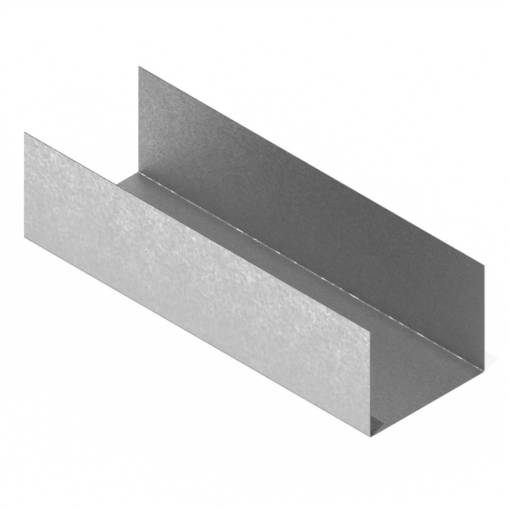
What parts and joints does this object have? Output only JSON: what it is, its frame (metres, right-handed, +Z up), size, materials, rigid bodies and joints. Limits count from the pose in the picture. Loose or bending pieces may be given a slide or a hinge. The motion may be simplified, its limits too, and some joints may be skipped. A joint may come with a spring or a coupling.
{
  "type": "drywall floor track",
  "caption": "U-shaped length of galvanised steel track, fixed web down to a floor so that wall studs stand in its channel and boards screw to its flanges.",
  "frame": {"origin": "middle of the web's underside", "axes": "+X along the track, +Y across it from flange to flange, +Z up out of the channel's open side"},
  "size_m": [0.15, 0.05, 0.04],
  "materials": {
    "galvanised_steel": "dull hot-dip zinc with faint, cloudy spangle"
  },
  "bodies": {
    "root": {"floor_track": "galvanised_steel"}
  },
  "joints": []
}
